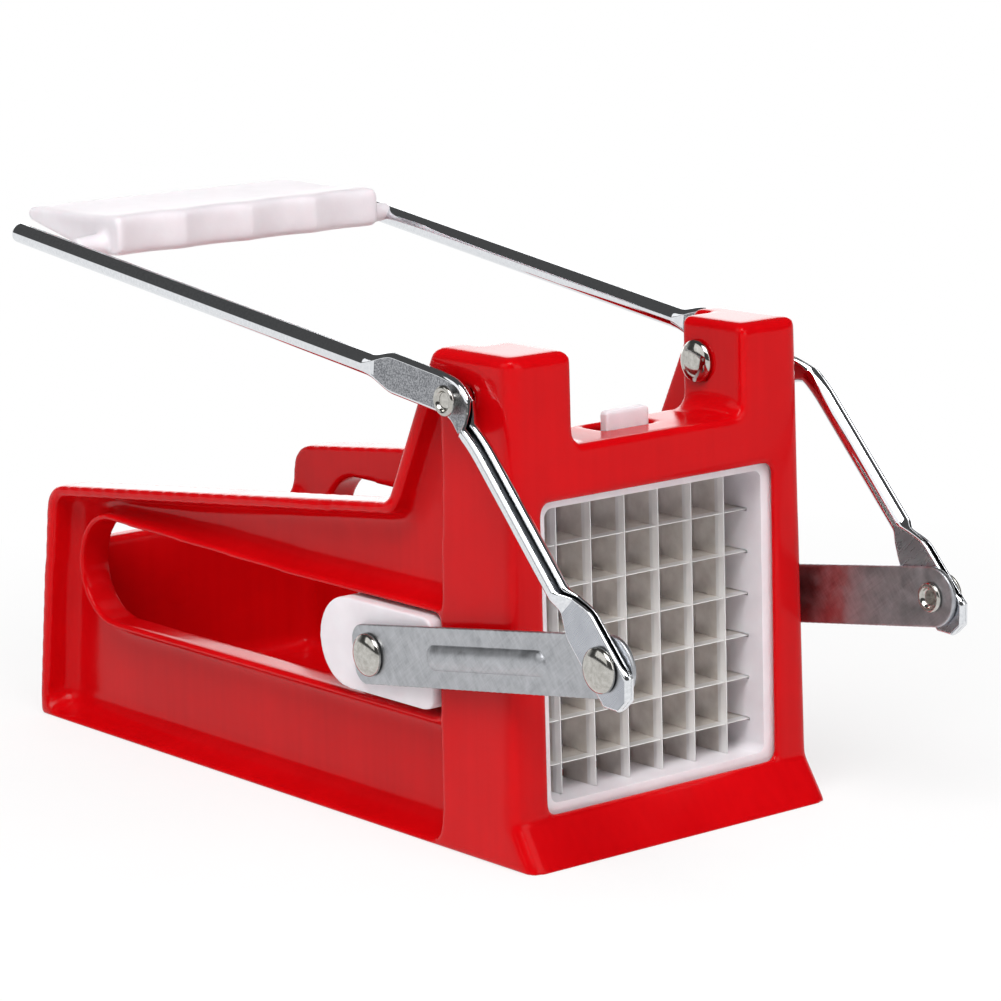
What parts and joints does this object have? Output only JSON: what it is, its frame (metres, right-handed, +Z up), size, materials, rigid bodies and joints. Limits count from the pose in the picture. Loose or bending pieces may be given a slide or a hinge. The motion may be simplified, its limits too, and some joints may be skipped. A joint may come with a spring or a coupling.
{
  "type": "potato slicer",
  "caption": "Lever-operated potato slicer: a red channel-shaped stand with a square blade grid, a sliding pusher and two bent levers joined by a white grip.",
  "frame": {"origin": "middle of the bounding box's base, on the table, between the two side walls", "axes": "+X towards the blade grid and the outfeed side, +Y to the left side, +Z up"},
  "size_m": [0.3004, 0.1302, 0.1628],
  "materials": {
    "red_moulding": "glossy red ABS moulding",
    "white_moulding": "soft white polyethylene, slightly translucent",
    "blade_steel": "satin stainless strip with polished bevels",
    "chromed_tube": "bright chromed rolled steel tube with satin pressed ends",
    "galvanised_strip": "galvanised steel strip with fine scratches",
    "rivet_steel": "plated steel rivets"
  },
  "bodies": {
    "stand": {"body": "red_moulding", "cartridge_frame": "white_moulding", "vertical_blade_1": "blade_steel", "vertical_blade_2": "blade_steel", "vertical_blade_3": "blade_steel", "vertical_blade_4": "blade_steel", "vertical_blade_5": "blade_steel", "vertical_blade_6": "blade_steel", "horizontal_blade_1": "blade_steel", "horizontal_blade_2": "blade_steel", "horizontal_blade_3": "blade_steel", "horizontal_blade_4": "blade_steel", "horizontal_blade_5": "blade_steel", "horizontal_blade_6": "blade_steel", "pivot_rivet_left": "rivet_steel", "pivot_rivet_right": "rivet_steel", "pivot_washer_left": "galvanised_strip", "pivot_washer_right": "galvanised_strip"},
    "lever": {"lever_left": "chromed_tube", "lever_right": "chromed_tube", "grip": "white_moulding", "grip_rod": "rivet_steel", "link_rivet_left": "rivet_steel", "link_rivet_right": "rivet_steel"},
    "pusher": {"pusher_carrier": "white_moulding", "peg_plate": "white_moulding", "slider_ear_left": "white_moulding", "slider_ear_right": "white_moulding", "pusher_rivet_left": "rivet_steel", "pusher_rivet_right": "rivet_steel"},
    "strap_left": {"strap_left": "galvanised_strip", "link_washer_left": "rivet_steel"},
    "strap_right": {"strap_right": "galvanised_strip", "link_washer_right": "rivet_steel"},
    "tab": {"release_tab": "white_moulding"}
  },
  "joints": [
    {"name": "lever_hinge", "type": "hinge", "parent": "stand", "child": "lever", "pos_m": [0.07525, 0, 0.1274], "axis": [0, 1, 0], "range_deg": [0, 90.7]},
    {"name": "pusher_slide", "type": "slide", "parent": "stand", "child": "pusher", "axis": [-1, 0, 0], "range_m": [0, 0.128]},
    {"name": "strap_left_hinge", "type": "hinge", "parent": "pusher", "child": "strap_left", "pos_m": [0.03565, 0.0577, 0.0511], "axis": [0, 1, 0], "range_deg": [0, 1.15]},
    {"name": "strap_right_hinge", "type": "hinge", "parent": "pusher", "child": "strap_right", "pos_m": [0.03565, -0.0577, 0.0511], "axis": [0, 1, 0], "range_deg": [0, 1.15]},
    {"name": "tab_slide", "type": "slide", "parent": "stand", "child": "tab", "axis": [0, 0, -1], "range_m": [0, 0.003], "stiffness_N_per_m": 400}
  ],
  "couplings": [
    {"joint": "pusher_slide", "follows": "lever_hinge", "m_per_rad": 0.080821},
    {"joint": "strap_left_hinge", "follows": "lever_hinge", "ratio": 0.012623},
    {"joint": "strap_right_hinge", "follows": "lever_hinge", "ratio": 0.012623}
  ]
}
